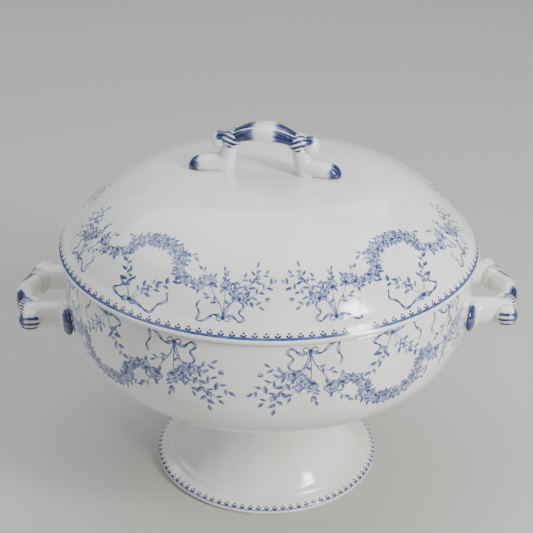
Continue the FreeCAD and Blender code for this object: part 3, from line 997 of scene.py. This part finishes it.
def leg_mesh(name, size):
    """Upright post and the foot that splays from it, melted into one by a voxel remesh."""
    root, middle, top_radius = size.leg_radii
    top = size.leg_top
    profile = through([(size.leg_root, root * 1.05), (top * 0.2, root * 0.97), (top * 0.5, middle),
                       (top * 0.85, top_radius * 1.02), (top, top_radius * 0.9)], 16)
    post = []
    for height, radius in profile:
        middle_x = size.leg_at + size.leg_lean * (1 - height / top)

        def on_post(angle):
            return Vector((middle_x + radius * cos(angle), radius * sin(angle), height))
        post.append(ring(LEG_AROUND, on_post))
    foot = []
    curve = size.seat_curve
    for along, height, half_up, half_across in through(size.foot, 30):
        lean = math.asin(along / curve)
        centre = Vector((along, 0, height - curve * (1 - cos(lean)) - 0.35))
        up = Vector((sin(lean), 0, cos(lean)))

        def on_foot(angle):
            return centre + Vector((0, half_across * cos(angle), 0)) + up * half_up * sin(angle)
        foot.append(ring(LEG_AROUND, on_foot))
    vertices, faces = loft(post)
    more_vertices, more_faces = loft(foot)
    shift = len(vertices)
    faces += [tuple(corner + shift for corner in face) for face in more_faces]
    rough = make_mesh(name + "_rough", vertices + more_vertices, faces)
    holder = add_object(name + "_rough", rough)
    remesh = holder.modifiers.new("melt", "REMESH")
    remesh.mode = "VOXEL"
    remesh.voxel_size = LEG_VOXEL
    smooth = holder.modifiers.new("soften", "SMOOTH")
    smooth.factor = 0.6
    smooth.iterations = 9
    graph = bpy.context.evaluated_depsgraph_get()
    mesh = bpy.data.meshes.new_from_object(holder.evaluated_get(graph))
    bpy.data.objects.remove(holder)
    mesh.name = name

    def brush(spots):
        first, last = size.toe_paint
        x, y, z = spots[:, 0], spots[:, 1], spots[:, 2]
        drop = z + curve - np.sqrt(curve ** 2 - x ** 2)
        toe = smoothstep(first, last, x + 0.25 * np.abs(y))
        sole = 0.6 * smoothstep(1.6, 0.3, drop) * smoothstep(first - 7, first, x)
        return np.clip(toe + sole, 0, 1)

    def grain(spots):
        return spots * np.array([0.22, 0.6, 0.22])
    return painted(mesh, brush, grain)


def mirrored_mesh(mesh):
    """The same mesh for the handle's other end."""
    other = mesh.copy()
    other.transform(Matrix.Scale(-1, 4, (1, 0, 0)))
    other.flip_normals()
    return other


def add_piece(mesh, node, body, slot, materials):
    """The visible piece that stands in for one node of the frame."""
    mesh.shade_smooth()
    for material in materials:
        mesh.materials.append(material)
    piece = add_object(node + "_glazed", mesh)
    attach(piece, body)
    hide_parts(node)


def handle_frame(origin, along, across, away):
    rows = [[along[k] * MM, across[k] * MM, away[k] * MM, origin[k] * MM] for k in range(3)]
    return Matrix(rows + [[0, 0, 0, 1]])


def add_handle(prefix, size, body, placement, plus_name, minus_name, materials):
    """All seven pieces of a handle. plus_name is the end on its own +x."""
    kinds = [
        ("grip", grip_mesh, "painted_strap", [""]),
        ("leg", leg_mesh, "plain_glaze", [plus_name, minus_name]),
        ("binding", binding_mesh, "blue_cord_glaze", [plus_name, minus_name]),
        ("knob", knob_mesh, "painted_knob", [plus_name, minus_name]),
    ]
    for kind, builder, slot, ends in kinds:
        for end in ends:
            node = "_".join(word for word in (prefix, end, kind) if word)
            mesh = builder(node + "_glazed", size)
            if end == minus_name:
                mesh = mirrored_mesh(mesh)
            mesh.transform(placement)
            add_piece(mesh, node, body, slot, [materials[kind]])


# ================= materials =================
GLAZE_WHITE = (0.80, 0.80, 0.78, 1)
GLAZE_WARM = (0.75, 0.73, 0.685, 1)
INK_PALE = (0.34, 0.40, 0.55, 1)
INK_MIDDLE = (0.075, 0.115, 0.30, 1)
INK_DARK = (0.022, 0.034, 0.135, 1)


class Nodes:
    """Short words for building a material's nodes."""

    def __init__(self, name):
        self.material = bpy.data.materials.new(name)
        self.material.use_nodes = True
        self.tree = self.material.node_tree
        self.shader = self.tree.nodes["Principled BSDF"]

    def node(self, kind, inputs=(), **settings):
        """A new node. inputs pairs a socket's name or number with a value or with what feeds it."""
        made = self.tree.nodes.new("ShaderNode" + kind)
        for key, value in settings.items():
            setattr(made, key, value)
        self.feed(made, inputs)
        return made

    def feed(self, node, inputs):
        for key, value in inputs:
            if isinstance(value, (int, float, tuple)):
                node.inputs[key].default_value = value
            else:
                self.tree.links.new(value, node.inputs[key])

    def finish(self, inputs):
        """Feeds the surface shader and gives the material."""
        self.feed(self.shader, inputs)
        return self.material

    def attribute(self, name):
        return self.node("Attribute", attribute_type="GEOMETRY", attribute_name=name)

    def place(self):
        return self.node("TexCoord").outputs["Object"]

    def noise(self, vector, scale, detail=2.0, roughness=0.5):
        inputs = [("Scale", scale), ("Detail", detail), ("Roughness", roughness), ("Vector", vector)]
        return self.node("TexNoise", inputs).outputs["Fac"]

    def math(self, operation, first, second, clamp=False):
        return self.node("Math", [(0, first), (1, second)], operation=operation, use_clamp=clamp).outputs[0]

    def spread(self, value, low, high, to_low=0.0, to_high=1.0):
        inputs = [("Value", value), ("From Min", low), ("From Max", high), ("To Min", to_low),
                  ("To Max", to_high)]
        return self.node("MapRange", inputs, interpolation_type="SMOOTHSTEP").outputs["Result"]

    def ramp(self, value, stops):
        made = self.node("ValToRGB", [("Fac", value)])
        ramp = made.color_ramp
        while len(ramp.elements) < len(stops):
            ramp.elements.new(0.5)
        for element, (position, colour) in zip(ramp.elements, stops):
            element.position = position
            element.color = colour
        return made.outputs["Color"]

    def mix(self, factor, first, second):
        """A blend of two colours, through the Mix node's own factor and colour sockets."""
        return self.node("Mix", [(0, factor), (6, first), (7, second)], data_type="RGBA").outputs[2]

    def bump(self, height, distance, strength, inputs=()):
        known = [("Distance", distance), ("Strength", strength), ("Height", height)]
        return self.node("Bump", known + list(inputs)).outputs["Normal"]


def glaze_colour(n, place):
    """White glaze: a little warmer where it runs thin, with a few specks of iron."""
    cloud = n.noise(place, 22.0, 3.0)
    white = n.mix(n.spread(cloud, 0.42, 0.7), GLAZE_WHITE, GLAZE_WARM)
    cells = n.node("TexVoronoi", [("Scale", 95.0), ("Vector", place)])
    speck = n.spread(cells.outputs["Distance"], 0.03, 0.055, 1.0, 0.0)
    rare = n.spread(n.noise(place, 60.0, 1.0), 0.66, 0.7)
    return n.mix(n.math("MULTIPLY", speck, rare), white, (0.20, 0.16, 0.12, 1))


def glazed(n, place, shown, blue):
    """Blue under a glaze that pulls into slow waves and pits finely, so highlights break up."""
    colour = n.mix(shown, glaze_colour(n, place), blue)
    slow = n.bump(n.noise(place, 26.0, 1.0), 0.0006, 0.35)
    fine = n.bump(n.noise(place, 420.0, 2.0), 0.00005, 0.25, [("Normal", slow)])
    gloss = n.spread(n.noise(place, 40.0, 3.0), 0.3, 0.75, 0.1, 0.2)
    return n.finish([("IOR", 1.5), ("Coat Weight", 0.35), ("Coat Roughness", 0.04), ("Roughness", gloss),
                     ("Normal", fine), ("Base Color", colour)])


def printed_glaze():
    n = Nodes("printed_glaze")
    place = n.place()
    tone = n.attribute("ink").outputs["Fac"]
    patchy = n.spread(n.noise(place, 150.0, 3.0), 0.3, 0.7, 0.72, 1.12)
    grainy = n.spread(n.noise(place, 900.0, 2.0), 0.3, 0.7, 0.85, 1.1)
    tone = n.math("MULTIPLY", tone, n.math("MULTIPLY", patchy, grainy), True)
    blue = n.ramp(tone, [(0.0, GLAZE_WHITE), (0.2, INK_PALE), (0.5, INK_MIDDLE), (0.88, INK_DARK)])
    return glazed(n, place, n.spread(tone, 0.0, 0.06), blue)


def painted_glaze(name, density, patch):
    """White glaze with brushed cobalt, streaked the way the brush ran."""
    n = Nodes(name)
    place = n.place()
    grain = n.attribute("grain").outputs["Vector"]
    streak = n.noise(grain, density, 4.0, 0.6)
    pool = n.noise(place, 230.0, 2.0)
    load = n.attribute("brush").outputs["Fac"]
    wobble = n.math("MULTIPLY", n.math("SUBTRACT", streak, 0.5), patch * 1.8)
    drift = n.math("MULTIPLY", n.math("SUBTRACT", pool, 0.5), 0.5)
    wet = n.math("ADD", load, n.math("ADD", wobble, drift))
    wet = n.math("MULTIPLY", wet, n.spread(load, 0.02, 0.2), True)
    blue = n.ramp(wet, [(0.0, GLAZE_WHITE), (0.32, (0.42, 0.46, 0.56, 1)), (0.6, (0.10, 0.15, 0.34, 1)),
                        (1.0, (0.012, 0.02, 0.09, 1))])
    return glazed(n, place, n.spread(wet, 0.1, 0.34), blue)


def bare_clay():
    """Unglazed resting ring, worn and a little stained."""
    n = Nodes("bare_clay")
    place = n.place()
    stain = n.noise(place, 120.0, 4.0)
    colour = n.ramp(stain, [(0.3, (0.58, 0.51, 0.42, 1)), (0.7, (0.36, 0.29, 0.22, 1))])
    pits = n.bump(n.noise(place, 900.0, 3.0), 0.0002, 0.6)
    return n.finish([("Base Color", colour), ("Roughness", 0.8), ("Normal", pits)])


def floor_material():
    return Nodes("floor_paint").finish([("Base Color", (0.47, 0.455, 0.43, 1)), ("Roughness", 0.65)])


# ================= the object =================
def build_object():
    printed = printed_glaze()
    clay = bare_clay()
    materials = {
        "grip": painted_glaze("strap_glaze", 1.0, 0.9),
        "leg": painted_glaze("leg_glaze", 1.0, 0.8),
        "binding": painted_glaze("binding_glaze", 2.0, 0.35),
        "knob": painted_glaze("knob_glaze", 0.9, 0.8),
    }
    add_piece(bowl_mesh(), "bowl", "vessel", "printed_glaze", [printed])
    add_piece(foot_mesh(), "pedestal_foot", "vessel", "foot_glaze", [printed, clay])
    add_piece(lid_mesh(), "lid", "cover", "printed_glaze", [printed])
    turn = radians(LID_HANDLE_TURN)
    on_lid = handle_frame((*LID_HANDLE_SHIFT, LID_TOP_Z), (cos(turn), sin(turn), 0),
                          (-sin(turn), cos(turn), 0), (0, 0, 1))
    add_handle("lid_handle", LID_HANDLE, "cover", on_lid, "right", "left", materials)
    for prefix, side, plus_name, minus_name in (("right_handle", 1, "rear", "front"),
                                                ("left_handle", -1, "front", "rear")):
        on_side = handle_frame((side * SIDE_HANDLE_RADIUS, 0, SIDE_HANDLE_Z), (0, side, 0), (0, 0, 1),
                               (side, 0, 0))
        add_handle(prefix, SIDE_HANDLE, "vessel", on_side, plus_name, minus_name, materials)


# ================= floor, light and camera =================
CAMERA_LENS = 80.38
CAMERA_SENSOR = 36.0
CAMERA_PLACE = (-0.0302, -0.7204, 0.5178)
CAMERA_TURN = (-2.29, 62.93, 0.62)  # heading, tilt up from straight down, and roll, in degrees
LIGHT_TARGET = (0, 0, 0.12)


def add_floor():
    mesh = bpy.data.meshes.new("floor")
    reach = 30.0
    drop = -0.0001  # just clear of the resting ring
    corners = [(x * reach, y * reach, drop) for x, y in ((-1, -1), (1, -1), (1, 1), (-1, 1))]
    mesh.from_pydata(corners, [], [(0, 1, 2, 3)])
    mesh.materials.append(floor_material())
    add_object("floor", mesh)


def add_light(name, place, size, watts, colour):
    light = bpy.data.lights.new(name, "AREA")
    light.shape = "RECTANGLE"
    light.size, light.size_y = size
    light.energy = watts
    light.color = colour
    lamp = add_object(name, light)
    lamp.location = place
    lamp.rotation_euler = (Vector(LIGHT_TARGET) - Vector(place)).to_track_quat("-Z", "Y").to_euler()


def add_camera():
    data = bpy.data.cameras.new("camera")
    data.lens = CAMERA_LENS
    data.sensor_width = CAMERA_SENSOR
    camera = add_object("camera", data)
    heading, tilt, roll = (radians(angle) for angle in CAMERA_TURN)
    turn = Matrix.Rotation(heading, 4, "Z") @ Matrix.Rotation(tilt, 4, "X") @ Matrix.Rotation(roll, 4, "Z")
    camera.matrix_world = Matrix.Translation(CAMERA_PLACE) @ turn
    bpy.context.scene.camera = camera


def add_world():
    world = bpy.data.worlds.new("studio")
    world.use_nodes = True
    background = world.node_tree.nodes["Background"]
    background.inputs["Color"].default_value = (0.80, 0.84, 0.90, 1)
    background.inputs["Strength"].default_value = 0.32
    bpy.context.scene.world = world


build_object()
add_floor()
add_world()
add_camera()
add_light("window", (0.85, -0.75, 0.75), (0.22, 0.7), 22.0, (1.0, 0.99, 0.97))
add_light("sky", (-0.2, 0.7, 2.2), (3.6, 2.6), 62.0, (0.97, 0.98, 1.0))
add_light("wall", (-1.3, -0.6, 0.7), (1.0, 1.0), 3.5, (1.0, 1.0, 1.0))
